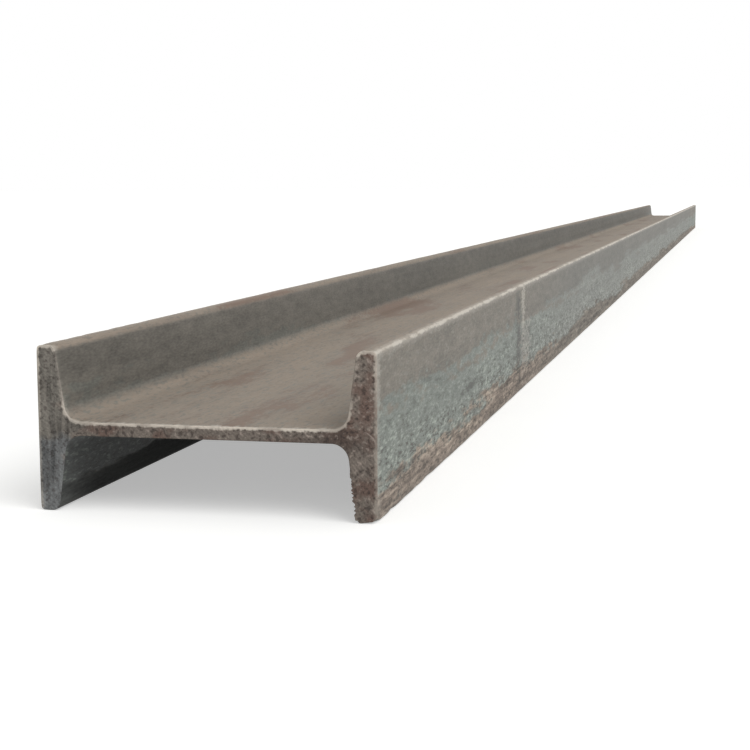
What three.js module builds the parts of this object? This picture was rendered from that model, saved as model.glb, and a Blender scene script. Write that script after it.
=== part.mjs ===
// Hot-rolled steel I-beam with tapered flanges: one length of plain stock.
//
// Millimetres, +Z up. The beam lies as it does in a stack: X runs across the depth of the
// section, Y along the beam, and Z across the width of the flanges, so the web is level and
// the beam rests on the lower toes of its two flanges.

import * as THREE from 'three';

// Driving dimensions of the rolled section.
const DEPTH = 200; // over the outer faces of the two flanges
const FLANGE_WIDTH = 96; // from toe to toe
const WEB_THICKNESS = 8;
const FLANGE_THICKNESS = 14.5; // mean: measured half way along a flange outstand
const FLANGE_TAPER = THREE.MathUtils.degToRad(8); // slope of a flange's inner face
const ROOT_RADIUS = 10; // fillet between the web and a flange
const TOE_RADIUS = 5; // on the inner edge of each toe
const CORNER_RADIUS = 2; // on the outer edge of each toe

// Length of the stock, sawn square at both ends.
const LENGTH = 6000;

// Steps round each arc of the section.
const ROOT_STEPS = 16;
const TOE_STEPS = 10;
const CORNER_STEPS = 5;

// The section is drawn about its own centre: u across the depth, v across the flange width.
const OUTER_FACE = DEPTH / 2;
const TOE_LINE = FLANGE_WIDTH / 2;
const WEB_FACE = WEB_THICKNESS / 2;
const MID_OUTSTAND = (TOE_LINE + WEB_FACE) / 2;

/** Where the sloping inner face of the +u flange stands at the height v. */
function innerFace(v) {
  return OUTER_FACE - FLANGE_THICKNESS + (v - MID_OUTSTAND) * Math.tan(FLANGE_TAPER);
}

/** Points round an arc from one angle to another, with both its ends. */
function arc(centreU, centreV, radius, fromAngle, toAngle, steps) {
  const curve = new THREE.ArcCurve(centreU, centreV, radius, fromAngle, toAngle, toAngle < fromAngle);
  return curve.getPoints(steps);
}

/** One quarter of the outline, from the +u outer face round the toe and down to the web. */
function quarterOutline() {
  const offsetAlongU = 1 / Math.cos(FLANGE_TAPER);
  const corner = arc(
    OUTER_FACE - CORNER_RADIUS, TOE_LINE - CORNER_RADIUS, CORNER_RADIUS, 0, Math.PI / 2, CORNER_STEPS,
  );
  const toeCentreV = TOE_LINE - TOE_RADIUS;
  const toeCentreU = innerFace(toeCentreV) + TOE_RADIUS * offsetAlongU;
  const toe = arc(
    toeCentreU, toeCentreV, TOE_RADIUS, Math.PI / 2, Math.PI - FLANGE_TAPER, TOE_STEPS,
  );
  const rootCentreV = WEB_FACE + ROOT_RADIUS;
  const rootCentreU = innerFace(rootCentreV) - ROOT_RADIUS * offsetAlongU;
  const root = arc(
    rootCentreU, rootCentreV, ROOT_RADIUS, -FLANGE_TAPER, -Math.PI / 2, ROOT_STEPS,
  );
  return [...corner, ...toe, ...root];
}

/** The same points on the other side of the u or v axis, in reverse to keep going round. */
function mirrored(points, signU, signV) {
  return points.map((point) => new THREE.Vector2(signU * point.x, signV * point.y)).reverse();
}

/** The whole outline of the section, anticlockwise. */
function sectionShape() {
  const quarter = quarterOutline();
  const upperHalf = [...quarter, ...mirrored(quarter, -1, 1)];
  const lowerHalf = upperHalf.map((point) => new THREE.Vector2(-point.x, -point.y));
  return new THREE.Shape([...upperHalf, ...lowerHalf]);
}

/** The section drawn out along +Y, centred over the origin and resting on z = 0. */
function beamGeometry() {
  const geometry = new THREE.ExtrudeGeometry(sectionShape(), {
    depth: LENGTH,
    bevelEnabled: false,
    steps: 1,
  });
  geometry.rotateX(Math.PI / 2);
  geometry.translate(0, LENGTH / 2, FLANGE_WIDTH / 2);
  return geometry;
}

/** Mill scale with a thin brown bloom of rust. */
const millScaleSteel = new THREE.MeshStandardMaterial({
  name: 'mill_scale_steel',
  color: 0x8a8a82,
  roughness: 0.62,
  metalness: 0.55,
});

const beam = new THREE.Mesh(beamGeometry(), millScaleSteel);
beam.name = 'i_beam';

const part = new THREE.Group();
part.name = 'steel_i_beam';
part.add(beam);

export default part;
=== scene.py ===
# %% [markdown]
# # A length of hot-rolled steel I-beam
#
# The beam is one piece of steel. It left the rolls red hot, cooled on a bed, and was sawn square
# at both ends. Nothing is fixed to it, so the scene holds one piece: a closed mesh that stands
# for the plain CAD solid and adds what rolling, sawing and handling leave behind.

# %% Load the frame
import math
import random

import bmesh
import bpy
import numpy as np
from mathutils import Matrix, Quaternion, Vector, geometry, noise


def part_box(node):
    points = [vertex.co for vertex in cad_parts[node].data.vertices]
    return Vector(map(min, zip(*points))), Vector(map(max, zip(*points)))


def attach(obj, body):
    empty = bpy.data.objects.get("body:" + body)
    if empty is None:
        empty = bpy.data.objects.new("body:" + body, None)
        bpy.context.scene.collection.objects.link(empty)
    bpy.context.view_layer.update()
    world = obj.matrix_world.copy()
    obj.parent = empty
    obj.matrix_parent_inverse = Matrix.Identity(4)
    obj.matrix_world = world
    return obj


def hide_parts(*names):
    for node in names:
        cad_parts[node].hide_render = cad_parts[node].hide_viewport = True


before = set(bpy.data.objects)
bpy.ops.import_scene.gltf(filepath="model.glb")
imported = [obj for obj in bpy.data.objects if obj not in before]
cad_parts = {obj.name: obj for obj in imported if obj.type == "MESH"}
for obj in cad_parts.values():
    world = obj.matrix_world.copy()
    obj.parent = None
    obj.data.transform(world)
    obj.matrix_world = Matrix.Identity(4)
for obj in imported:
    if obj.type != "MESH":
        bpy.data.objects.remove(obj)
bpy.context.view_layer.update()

LOW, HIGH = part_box("i_beam")
MM = 0.001

DEPTH = (HIGH.x - LOW.x) / MM
LENGTH = (HIGH.y - LOW.y) / MM
WIDTH = (HIGH.z - LOW.z) / MM
print(f"beam: {DEPTH:.1f} mm deep, {WIDTH:.1f} mm over the flanges, {LENGTH:.1f} mm long")

# %% [markdown]
# ## The rolled section
#
# Every cut through the beam shows the same outline, because the whole length passed through the
# same grooved rolls. The outline could be typed in again from its sizes, but then the two models
# could drift apart. It is read from the sawn end of the frame's own mesh instead: the edges with
# the end face on one side only, walked round once.

# %% Read the outline from the frame
SAME_POINT = 0.001
FACES_THE_END = -0.5


def sawn_outline(node):
    """The section's outline at the near end as (x, z) in millimetres, anticlockwise from there."""
    mesh = bmesh.new()
    mesh.from_mesh(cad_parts[node].data)
    bmesh.ops.remove_doubles(mesh, verts=mesh.verts, dist=SAME_POINT * MM)
    mesh.normal_update()
    neighbours = {}
    for edge in mesh.edges:
        ends = [face for face in edge.link_faces if face.normal.y < FACES_THE_END]
        if len(ends) == 1:
            a, b = edge.verts
            neighbours.setdefault(a, []).append(b)
            neighbours.setdefault(b, []).append(a)
    first = next(iter(neighbours))
    walk = [first, neighbours[first][0]]
    while walk[-1] is not first:
        walk.append(next(v for v in neighbours[walk[-1]] if v is not walk[-2]))
    points = np.array([(v.co.x, v.co.z) for v in walk[:-1]]) / MM
    mesh.free()
    after = np.roll(points, -1, axis=0)
    doubled_area = np.sum(points[:, 0] * after[:, 1] - points[:, 1] * after[:, 0])
    return points if doubled_area > 0 else points[::-1]


cad_outline = sawn_outline("i_beam")
print("outline:", len(cad_outline), "corners")

# %% [markdown]
# The CAD outline has points only where the section bends. Wear needs points on the flats as
# well: close together beside the rounded edges, where a knock shows, and wide apart in the
# middle. The lower inner edge of the right flange gets the closest points of all, because the
# saw left a ragged burr there.

# %% Add points on the flats
FLAT_STEP = 8.0
BESIDE_AN_EDGE = (1.2, 3.0)
BURR_STEP = 0.75
BURR_HEIGHTS = (4.0, 34.0)
INNER_FACE_BEHIND = (6.0, 20.0)


def carries_the_burr(point):
    """True on the inner face of the right flange, below the web, at its free end."""
    behind = DEPTH / 2 - point[0]
    on_the_inner_face = INNER_FACE_BEHIND[0] < behind < INNER_FACE_BEHIND[1]
    return on_the_inner_face and BURR_HEIGHTS[0] < point[1] < BURR_HEIGHTS[1]


def places_along(start, end):
    """How far along a straight stretch its extra points stand, in millimetres."""
    length = float(np.linalg.norm(end - start))
    if carries_the_burr((start + end) / 2):
        return list(np.arange(BURR_STEP, length, BURR_STEP))
    if length < 2 * FLAT_STEP:
        return []
    margin = BESIDE_AN_EDGE[-1]
    count = math.ceil((length - 2 * margin) / FLAT_STEP)
    middle = list(np.linspace(margin, length - margin, count + 1))
    return [BESIDE_AN_EDGE[0]] + middle + [length - BESIDE_AN_EDGE[0]]


def with_flats_filled(corners):
    """The same outline with the extra points in place."""
    points = []
    for start, end in zip(corners, np.roll(corners, -1, axis=0)):
        direction = (end - start) / np.linalg.norm(end - start)
        points.append(start)
        points += [start + direction * place for place in places_along(start, end)]
    return np.array(points)


outline = with_flats_filled(cad_outline)
before = np.roll(outline, 1, axis=0)
after = np.roll(outline, -1, axis=0)
tangent = (after - before) / np.linalg.norm(after - before, axis=1)[:, None]
outward = np.stack([tangent[:, 1], -tangent[:, 0]], axis=1)
print("outline with its flats filled:", len(outline), "points")

# %% [markdown]
# ## Stations along the length
#
# A section is laid down at each station and joined to the next. Near the saw cuts the stations
# are under a millimetre apart, to hold the burr and the knocks, and the spacing grows with the
# distance from the end until it settles in the middle of the bar.

# %% Place the stations
CUT_EASING = 0.45
FIRST_SPACING = 0.8
SPACING_GROWTH = 0.045
WIDEST_SPACING = 40.0


def half_stations():
    """Distances from one sawn end to the middle of the bar, in millimetres."""
    places = [CUT_EASING]
    while places[-1] < LENGTH / 2:
        spacing = min(WIDEST_SPACING, FIRST_SPACING + SPACING_GROWTH * places[-1])
        places.append(places[-1] + spacing)
    scale = (LENGTH / 2 - CUT_EASING) / (places[-1] - CUT_EASING)
    return CUT_EASING + (np.array(places) - CUT_EASING) * scale


from_end = half_stations()
near_half = from_end - LENGTH / 2
stations = np.concatenate([near_half, -near_half[-2::-1]])
print("stations:", len(stations))

# %% [markdown]
# ## Wear along the bar
#
# Rolled steel is never quite flat: the rolls leave long shallow waves a tenth of a millimetre
# deep. Chains, forks and other beams then knock the free edges of the flanges. Both only take
# metal away or push it in, so every point moves inward and the beam keeps its nominal size.
# A sum of a few smooth dents is quick to work out and easy to aim, which a noise texture isn't.

# %% Long waves from the rolls
WAVE_DEPTH = 0.16
WAVE_LENGTH = 95.0


def wave(x, y, z, size):
    """Smooth noise from 0 to 1 with features of about this size, in millimetres."""
    return 0.5 + 0.5 * noise.noise(Vector((x, y, z)) / size)


shift = np.zeros((len(stations), len(outline), 2))
for row, y in enumerate(stations):
    depth = [WAVE_DEPTH * wave(x, y, z, WAVE_LENGTH) for x, z in outline]
    shift[row] -= outward * np.array(depth)[:, None]
print(f"waves: up to {np.linalg.norm(shift, axis=2).max():.2f} mm deep")

# %% [markdown]
# A knock on an edge pushes the metal in at forty-five degrees, square to neither face.
# Each dent fades like a bell curve, both along the bar and away from the edge, so the dents can
# overlap and still leave a smooth surface.

# %% Worn and knocked edges
WEAR_DEPTH = 0.5
WEAR_LENGTH = 26.0
WEAR_REACH = 2.8
KNOCKS = 90
KNOCK_SEED = 11
KNOCK_DEPTHS = (0.2, 0.6)
KNOCK_LENGTHS = (2.5, 8.0)
KNOCK_REACHES = (2.5, 5.0)
KNOCK_OVER_SPACING = 1.3
WIDEST_FOR_KNOCKS = 9.0
DROPPED_CORNER = {"depth": 1.7, "length": 8.0, "reach": 3.6}

toe_edges = np.array([(x, z) for x in (LOW.x / MM, HIGH.x / MM) for z in (0.0, WIDTH)])
LOWER_RIGHT = 2
middle = np.array([0.0, WIDTH / 2])


def dent(toe_edge, along_the_bar, reach):
    """Pushes one edge in by a depth for each station, less and less away from the edge."""
    push = np.sign(middle - toe_edge) * math.sqrt(0.5)
    away = np.linalg.norm(outline - toe_edge, axis=1) / reach
    shift[:] += along_the_bar[:, None, None] * np.exp(-away**2)[None, :, None] * push


def bell(y, depth, length):
    """The depth at each station of one dent, centred at y."""
    return depth * np.exp(-(((stations - y) / length) ** 2))


random.seed(KNOCK_SEED)
for toe_edge in toe_edges:
    steady = [WEAR_DEPTH * wave(toe_edge[0], y, toe_edge[1], WEAR_LENGTH) ** 2 for y in stations]
    dent(toe_edge, np.array(steady), WEAR_REACH)
spacings = np.diff(stations)
close_stations = [k for k in range(1, len(spacings)) if spacings[k] < WIDEST_FOR_KNOCKS]
for _ in range(KNOCKS):
    station = random.choice(close_stations)
    length = max(random.uniform(*KNOCK_LENGTHS), KNOCK_OVER_SPACING * spacings[station])
    depth = random.uniform(*KNOCK_DEPTHS) * random.random()
    knock = bell(stations[station], depth, length)
    dent(random.choice(toe_edges), knock, random.uniform(*KNOCK_REACHES))
dropped = bell(-LENGTH / 2, DROPPED_CORNER["depth"], DROPPED_CORNER["length"])
dent(toe_edges[LOWER_RIGHT], dropped, DROPPED_CORNER["reach"])
print(f"deepest wear: {np.linalg.norm(shift, axis=2).max():.2f} mm")

# %% [markdown]
# ## The burr
#
# As the blade breaks through it pushes a thin fringe of metal over the edge, which tears into
# teeth a millimetre or so long. It is worth real geometry, because it breaks the straight line
# of the section against the light. The fringe hangs from the inner face of the flange, dies out
# at its top, and fades within three millimetres of the cut.

# %% Grow the burr at the near end
BURR_HEIGHT = 1.3
BURR_TOOTH = 1.35
TOOTH_EDGES = (0.36, 0.62)
SPLINTER_SIZE = 0.9
SPLINTER_SHARE = 0.3
TOOTH_SEED, SPLINTER_SEED = 7.0, 31.0
BURR_FADE = 14.0
BURR_DEPTH = 2.6


def smooth_step(low, high, value):
    """0 below low, 1 above high, and a smooth rise between them."""
    share = np.clip((value - low) / (high - low), 0, 1)
    return share * share * (3 - 2 * share)


burr = np.zeros(len(outline))
for column, (x, z) in enumerate(outline):
    if carries_the_burr((x, z)):
        fade = 1 - smooth_step(BURR_HEIGHTS[1] - BURR_FADE, BURR_HEIGHTS[1], z)
        tooth = smooth_step(*TOOTH_EDGES, wave(x, TOOTH_SEED, z, BURR_TOOTH))
        tooth += SPLINTER_SHARE * wave(x, SPLINTER_SEED, z, SPLINTER_SIZE)
        burr[column] = BURR_HEIGHT * float(fade) * float(tooth)
near_distance = stations + LENGTH / 2
burr_fade = np.clip(1 - (near_distance - CUT_EASING) / BURR_DEPTH, 0, 1)
shift += burr_fade[:, None, None] * (burr[:, None] * outward)[None]
print(f"burr: teeth up to {burr.max():.2f} mm")

# %% [markdown]
# The fringe also fills the round of the toe below it, so that the corner looks square there. The
# two faces of the toe would meet in a sharp corner; the points of the round move part of the way
# to it, and less and less with the distance from the cut.

# %% Fill the corner under the burr
FILLED_SHARE = 0.62
FILLED_DEPTH = 9.0
ROUND_REACH = 1.02

ragged_face = outline[[carries_the_burr(point) for point in outline]]
foot_of_face, top_of_face = ragged_face[ragged_face[:, 1].argsort()[[0, -1]]]
run = (top_of_face - foot_of_face) / (top_of_face[1] - foot_of_face[1])
sharp_corner = foot_of_face - run * foot_of_face[1]
to_corner = sharp_corner - outline
round_size = np.linalg.norm(sharp_corner - foot_of_face)
in_the_round = np.linalg.norm(to_corner, axis=1) < ROUND_REACH * round_size
fill_fade = FILLED_SHARE * np.clip(1 - near_distance / FILLED_DEPTH, 0, 1)
shift += fill_fade[:, None, None] * (to_corner * in_the_round[:, None])[None]
print("points in the filled round:", int(in_the_round.sum()))

# %% [markdown]
# ## The sawn ends
#
# Each end is a flat cut. A single polygon would do for its shape, but a saw leaves shallow arcs
# where the blade chattered, and the light rakes across them. So the face is filled with small
# triangles, by a constrained Delaunay triangulation of the outline and a grid of inner points,
# and each point steps back a little by its distance from where the blade's centre was.

# %% Fill one end face
CAP_SPACING = 1.25
CAP_ROWS = CAP_SPACING * math.sqrt(0.75)
CAP_MARGIN = 0.75
TRIANGLES_INSIDE, WELD = 1, 1e-6
CHATTER_PITCH = 7.5
CHATTER_DEPTH = 0.16
CHATTER_PATCH = 30.0
CHATTER_DRIFT = (0.8, 35.0)
CUT_GRAIN = (0.10, 2.2)
RIM_SETBACK = 0.4
BLADE_CENTRE = (-620.0, -600.0)


def inside(points, loop):
    """Which points lie inside a closed loop, by the even and odd rule."""
    result = np.zeros(len(points), bool)
    for a, b in zip(loop, np.roll(loop, -1, axis=0)):
        crosses = (a[1] > points[:, 1]) != (b[1] > points[:, 1])
        rise = b[1] - a[1] if b[1] != a[1] else 1.0
        result ^= crosses & (points[:, 0] < a[0] + (points[:, 1] - a[1]) * (b[0] - a[0]) / rise)
    return result


def distance_to(points, loop):
    """The distance from each point to the nearest stretch of a closed loop."""
    nearest = np.full(len(points), np.inf)
    for a, b in zip(loop, np.roll(loop, -1, axis=0)):
        share = np.clip((points - a) @ (b - a) / ((b - a) @ (b - a)), 0, 1)
        nearest = np.minimum(nearest, np.linalg.norm(points - a - share[:, None] * (b - a), axis=1))
    return nearest


def grid_inside(loop):
    """A grid of staggered points that fills the loop up to a margin."""
    xs = np.arange(loop[:, 0].min(), loop[:, 0].max(), CAP_SPACING)
    zs = np.arange(loop[:, 1].min(), loop[:, 1].max(), CAP_ROWS)
    grid = np.array([(x + 0.5 * CAP_SPACING * (i % 2), z) for i, z in enumerate(zs) for x in xs])
    grid = grid[inside(grid, loop)]
    return grid[distance_to(grid, loop) > CAP_MARGIN]


def chatter(x, z, seed):
    """How far the cut face steps back at a point, in millimetres."""
    radius = math.hypot(x - BLADE_CENTRE[0], z - BLADE_CENTRE[1])
    drift = CHATTER_DRIFT[0] * noise.noise(Vector((x, seed, z)) / CHATTER_DRIFT[1])
    ridge = 0.5 + 0.5 * math.sin(2 * math.pi * (radius / CHATTER_PITCH + drift))
    arcs = CHATTER_DEPTH * ridge * wave(x, seed, z, CHATTER_PATCH)
    return arcs + CUT_GRAIN[0] * wave(x, seed, z, CUT_GRAIN[1])


def fill_end(rim, seed):
    """Points, setbacks and triangles of one end face: the rim's own points come first."""
    grid = grid_inside(rim)
    points = np.concatenate([rim, grid])
    edges = [(i, (i + 1) % len(rim)) for i in range(len(rim))]
    border = [list(range(len(rim)))]
    places = [Vector(point) for point in points]
    made = geometry.delaunay_2d_cdt(places, edges, border, TRIANGLES_INSIDE, WELD)
    _, _, faces, sources, _, _ = made
    triangles = [[sources[i][0] for i in face] for face in faces]
    setback = np.array([chatter(x, z, seed) for x, z in points])
    setback[: len(rim)] *= RIM_SETBACK
    nearest = np.array([np.linalg.norm(rim - point, axis=1).argmin() for point in points])
    return points, setback, triangles, distance_to(points, rim), nearest


print(f"cut face: points {CAP_SPACING} mm apart, chatter {CHATTER_DEPTH} mm deep")

# %% [markdown]
# The rim of each face is the outline drawn in by half a millimetre or so, unevenly. The narrow
# slope between the rim and the first station is the eased edge of the cut, and it catches the
# light as a fine bright line, as it does on the real bar.

# %% Draw the rim in
RIM_DRAW = (0.15, 0.85)
RIM_RAGGED = 2.6


def rim_of(station, seed):
    """The outline of an end face: the outline of that station, drawn in a little."""
    worn = outline + shift[station]
    uneven = np.array([wave(x, seed, z, RIM_RAGGED) for x, z in outline])
    draw = RIM_DRAW[0] + (RIM_DRAW[1] - RIM_DRAW[0]) * uneven
    return worn - outward * draw[:, None]


print(f"rim: drawn in by {RIM_DRAW[0]} to {RIM_DRAW[1]} mm")

# %% [markdown]
# The finishes need three numbers at every point: how far it is from the free edge of a flange,
# how far from the rim of the cut, and how pale its edge is. Gloves, slings and the next beam rub
# the edges, and the pale line is partly a painted highlight as well: it is strongest on the edges
# that look up, fainter on those that look out, and the ones below the web stay dark.

# %% How pale each edge is: rub and painted highlight
TOP_ROUND = 3.0
OUTER_FACE = 1.0
# Edges that look up get the most painted highlight along with their rub, and those below the web
# get none.
OUTER_RUB_AND_HIGHLIGHT = (0.30, 0.62)
OUTER_RUB_AND_HIGHLIGHT_HEIGHTS = (64, 82)
INNER_RUB_AND_HIGHLIGHT = (1.0, 0.2)
INNER_RUB_AND_HIGHLIGHT_RISES = (8, 22)


def rubbed_and_lit(x, z):
    """From 0 for an edge with neither rub nor painted highlight to 1 for one that looks up."""
    if z > WIDTH - TOP_ROUND:
        return 1.0
    if abs(x) > DEPTH / 2 - OUTER_FACE:
        return float(np.interp(z, OUTER_RUB_AND_HIGHLIGHT_HEIGHTS, OUTER_RUB_AND_HIGHLIGHT))
    if z < WIDTH / 2:
        return 0.0
    return float(np.interp(z - WIDTH / 2, INNER_RUB_AND_HIGHLIGHT_RISES, INNER_RUB_AND_HIGHLIGHT))


rub_and_highlight = np.array([rubbed_and_lit(x, z) for x, z in outline])
print("rubbed points:", int((rub_and_highlight > 0).sum()), "of", len(rub_and_highlight))

# %% [markdown]
# Now everything is in place for the mesh. The side is a grid of four-cornered faces, one row for
# each pair of stations, and each end joins it along its rim point by point, so nothing has to be
# merged afterwards and the mesh is closed by the way it is numbered.

# %% Join sides and ends into one closed mesh
STEEL_DENSITY = 7850
SHARPEST_SMOOTH = math.radians(35)
NEAR_SEED, FAR_SEED = 3.0, 57.0

count = len(outline)
worn = outline[None] + shift
station_of = np.broadcast_to(stations[:, None], worn.shape[:2])
side = np.stack([worn[..., 0], station_of, worn[..., 1]], axis=2)
points = [side.reshape(-1, 3)]
to_toe_edge = np.min(np.linalg.norm(outline[:, None] - toe_edges[None], axis=2), axis=1)
marks = {
    "toe_mm": [np.tile(to_toe_edge, len(stations))],
    "rim_mm": [np.zeros(side.shape[0] * count)],
    "rub_and_highlight": [np.tile(rub_and_highlight, len(stations))],
}
faces = []
for k in range(len(stations) - 1):
    for i in range(count):
        j = (i + 1) % count
        faces.append((k * count + i, (k + 1) * count + i, (k + 1) * count + j, k * count + j))
finishes = [0] * len(faces)

total = len(stations) * count
for station, seed, end in ((0, NEAR_SEED, -1), (len(stations) - 1, FAR_SEED, 1)):
    flat, setback, triangles, to_rim, nearest = fill_end(rim_of(station, seed), seed)
    points.append(np.stack([flat[:, 0], end * (LENGTH / 2 - setback), flat[:, 1]], axis=1))
    marks["toe_mm"].append(np.zeros(len(flat)))
    marks["rim_mm"].append(to_rim)
    marks["rub_and_highlight"].append(rub_and_highlight[nearest])
    new = [tuple(total + i for i in triangle) for triangle in triangles]
    for i in range(count):
        j = (i + 1) % count
        new.append((station * count + i, station * count + j, total + j, total + i))
    faces += new if end < 0 else [face[::-1] for face in new]
    finishes += [1] * len(new)
    total += len(flat)
    print("end face:", len(flat), "points,", len(triangles), "triangles")

mesh = bpy.data.meshes.new("rolled_i_beam")
mesh.from_pydata(np.concatenate(points) * MM, [], faces)
for name, values in marks.items():
    mesh.attributes.new(name, "FLOAT", "POINT").data.foreach_set("value", np.concatenate(values))
mesh.validate()
mesh.shade_smooth()
mesh.set_sharp_from_angle(angle=SHARPEST_SMOOTH)
beam = bpy.data.objects.new("rolled_i_beam", mesh)
bpy.context.scene.collection.objects.link(beam)

solid = bmesh.new()
solid.from_mesh(mesh)
open_edges = sum(not edge.is_manifold for edge in solid.edges)
print(f"mesh: {sum(len(face.verts) - 2 for face in solid.faces)} triangles,", end=" ")
print(f"{solid.calc_volume(signed=True) * STEEL_DENSITY:.1f} kg of steel, {open_edges} open edges")
solid.free()

# %% [markdown]
# ## A flat layout of the surface
#
# The finishes below are worked out in space and need no layout. A model that leaves Blender
# carries its colours as an image, though, and an image has to be laid out. Blender can do that
# for any mesh, but a layout made for the piece wastes less of the image. The side is unrolled
# into one strip, which is stretched towards its ends, where there is more to see, and the two
# sawn ends lie side by side below it.

# %% Lay out the side and the ends
LAYOUT_MARGIN = 0.004
ENDS_HEIGHT = 0.20
END_STRETCH = 0.6

steps = np.linalg.norm(np.roll(outline, -1, axis=0) - outline, axis=1)
around = np.concatenate([[0.0], np.cumsum(steps)]) / steps.sum()
to_an_end = 1 - np.abs(stations) / (LENGTH / 2)
stretched = 0.5 + 0.5 * np.sign(stations) * (1 - to_an_end**END_STRETCH)

side_faces = (len(stations) - 1) * count
k, i = np.divmod(np.arange(side_faces), count)
side_u = stretched[np.stack([k, k + 1, k + 1, k], axis=1)].ravel()
side_v = around[np.stack([i, i, i + 1, i + 1], axis=1)].ravel()
side_v = ENDS_HEIGHT + (1 - ENDS_HEIGHT) * side_v

end_corners = np.concatenate([np.array(face) for face in faces[side_faces:]])
x, y, z = np.concatenate(points)[end_corners].T
end_u = np.where(y < 0, x / DEPTH + 0.5, 1.5 - x / DEPTH) / 2
end_v = ENDS_HEIGHT * z / WIDTH


def with_margins(places, low, high):
    """Shrinks an island's places from low to high by a margin on both sides."""
    share = (places - low) / (high - low)
    return low + LAYOUT_MARGIN + share * (high - low - 2 * LAYOUT_MARGIN)


half = (y > 0) * 0.5
layout = np.concatenate([
    np.stack([with_margins(side_u, 0, 1), with_margins(side_v, ENDS_HEIGHT, 1)], axis=1),
    np.stack([with_margins(end_u, half, half + 0.5), with_margins(end_v, 0, ENDS_HEIGHT)], axis=1),
])
layer = mesh.uv_layers.new(name="OFBake")
layer.uv.foreach_set("vector", layout.astype(np.float32).ravel())
print("layout:", len(layout), "corners, low", layout.min(axis=0), "high", layout.max(axis=0))

# %% [markdown]
# ## Colours and nodes
#
# Colours are written as hex values, as a paint chart gives them, and Blender works in linear
# light, so one function turns one into the other. Another adds a node with its settings and
# links, which keeps each line of a material down to what the line is for. The third moves a value
# up and down by noises. A noise stays near a half, so each is centred on zero before it is added.

# %% Three helpers


def linear(hex_colour):
    """A '#rrggbb' colour as linear RGBA."""
    channels = [int(hex_colour[i : i + 2], 16) / 255 for i in (1, 3, 5)]
    return [c / 12.92 if c <= 0.04045 else ((c + 0.055) / 1.055) ** 2.4 for c in channels] + [1.0]


def add_node(tree, kind, inputs=None, output=0, **settings):
    """Adds a node, sets it up, fills or links its inputs, and returns one of its outputs."""
    node = tree.nodes.new("ShaderNode" + kind)
    for name, value in settings.items():
        setattr(node, name, value)
    for key, value in (inputs or {}).items():
        if isinstance(value, bpy.types.NodeSocket):
            tree.links.new(value, node.inputs[key])
        else:
            node.inputs[key].default_value = value
    return node.outputs[output] if len(node.outputs) else node


def add_swings(tree, value, swings):
    """Adds noises to a value, each one centred on zero and given its own weight."""
    for source, weight in swings:
        centred = add_node(tree, "Math", {0: source, 1: 0.5}, operation="SUBTRACT")
        value = add_node(tree, "Math", {0: centred, 1: weight, 2: value}, operation="MULTIPLY_ADD")
    return value


# A colour mix keeps its factor, its two colours and its result at these places.
FACTOR, UNDER, OVER, RESULT = 0, 6, 7, 2
COLOURS = {"data_type": "RGBA"}
MULTIPLIED = {"data_type": "RGBA", "blend_type": "MULTIPLY"}
SOFT = {"interpolation_type": "SMOOTHSTEP"}

# %% [markdown]
# ## Finish 1: mill scale, as rolled
#
# Red-hot steel grows a skin of iron oxide in the air. It is called mill scale: a hard grey layer
# with a dull sheen, half way between paint and bare metal. It isn't one colour. The middle of
# each flange, with the web behind it, cools last and its scale is a cool green-grey; the free
# edges cool first and turn out browner. Rain then starts the rust along the foot, where it dries
# last. An image would fix one stretch of this; noise placed in millimetres covers the whole bar
# and has no seams. The rolls stretch whatever they press into the steel, so each noise is longer
# along the bar than across it.

# %% Mill scale: places in millimetres
mill_scale = bpy.data.materials.new("hot_rolled_mill_scale")
mill_scale.use_nodes = True
mill = mill_scale.node_tree
mill.nodes.clear()

WASHED_LONG = 2.4
PRESSED_LONG = 4.0
POOLED_LONG = 6.0
DRAWN_LONG = 25.0
LINE_LONG = 250.0

place = add_node(mill, "TexCoord", output="Object")
mm = add_node(mill, "VectorMath", {0: place, "Scale": 1 / MM}, operation="SCALE")
across, along, height = add_node(mill, "SeparateXYZ", {0: mm}).node.outputs
washed, pressed, pooled, drawn, lined = [
    add_node(mill, "VectorMath", {0: mm, 1: (1, 1 / length, 1)}, operation="MULTIPLY")
    for length in (WASHED_LONG, PRESSED_LONG, POOLED_LONG, DRAWN_LONG, LINE_LONG)
]
print(mill_scale.name, "is placed in millimetres, with", len(mill.nodes), "nodes so far")

# %% [markdown]
# Scale is never even at any distance, so the noises go from grit of a millimetre to blotches of
# five centimetres. Each one is made once here and used again for colour, borders and relief. Dust
# came after the rolls and was only washed along a little, so its noise is stretched the least.
# Rain stands on the web in long shallow pools, six times as long as they are wide.

# %% Mill scale: the noises
GRIT_SIZE = 1.2
SPECKLE_SIZE = 2.3
CLUSTER_SIZE = 6.0
TONGUE_SIZE = 11.0
STREAK_SIZE = 3.4
BLOTCH_SIZE = 48.0
ROLL_LINE_SIZE = 7.0
DUST_SIZE = 2.4
PUDDLE_SIZE = 42.0

grit, speckle, clusters, tongues, streaks, blotches, roll_lines, dust_grain, puddles = [
    add_node(
        mill, "TexNoise", {"Vector": way, "Scale": 1 / size, "Detail": detail, "Roughness": rough}
    )
    for way, size, detail, rough in (
        (pressed, GRIT_SIZE, 1.0, 0.5),
        (pressed, SPECKLE_SIZE, 4.0, 0.6),
        (pressed, CLUSTER_SIZE, 4.0, 0.5),
        (drawn, TONGUE_SIZE, 5.0, 0.5),
        (drawn, STREAK_SIZE, 3.0, 0.5),
        (pressed, BLOTCH_SIZE, 5.0, 0.5),
        (lined, ROLL_LINE_SIZE, 4.0, 0.5),
        (washed, DUST_SIZE, 4.0, 0.6),
        (pooled, PUDDLE_SIZE, 5.0, 0.6),
    )
]
print("noises from", GRIT_SIZE, "to", BLOTCH_SIZE, "mm across the bar")

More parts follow.
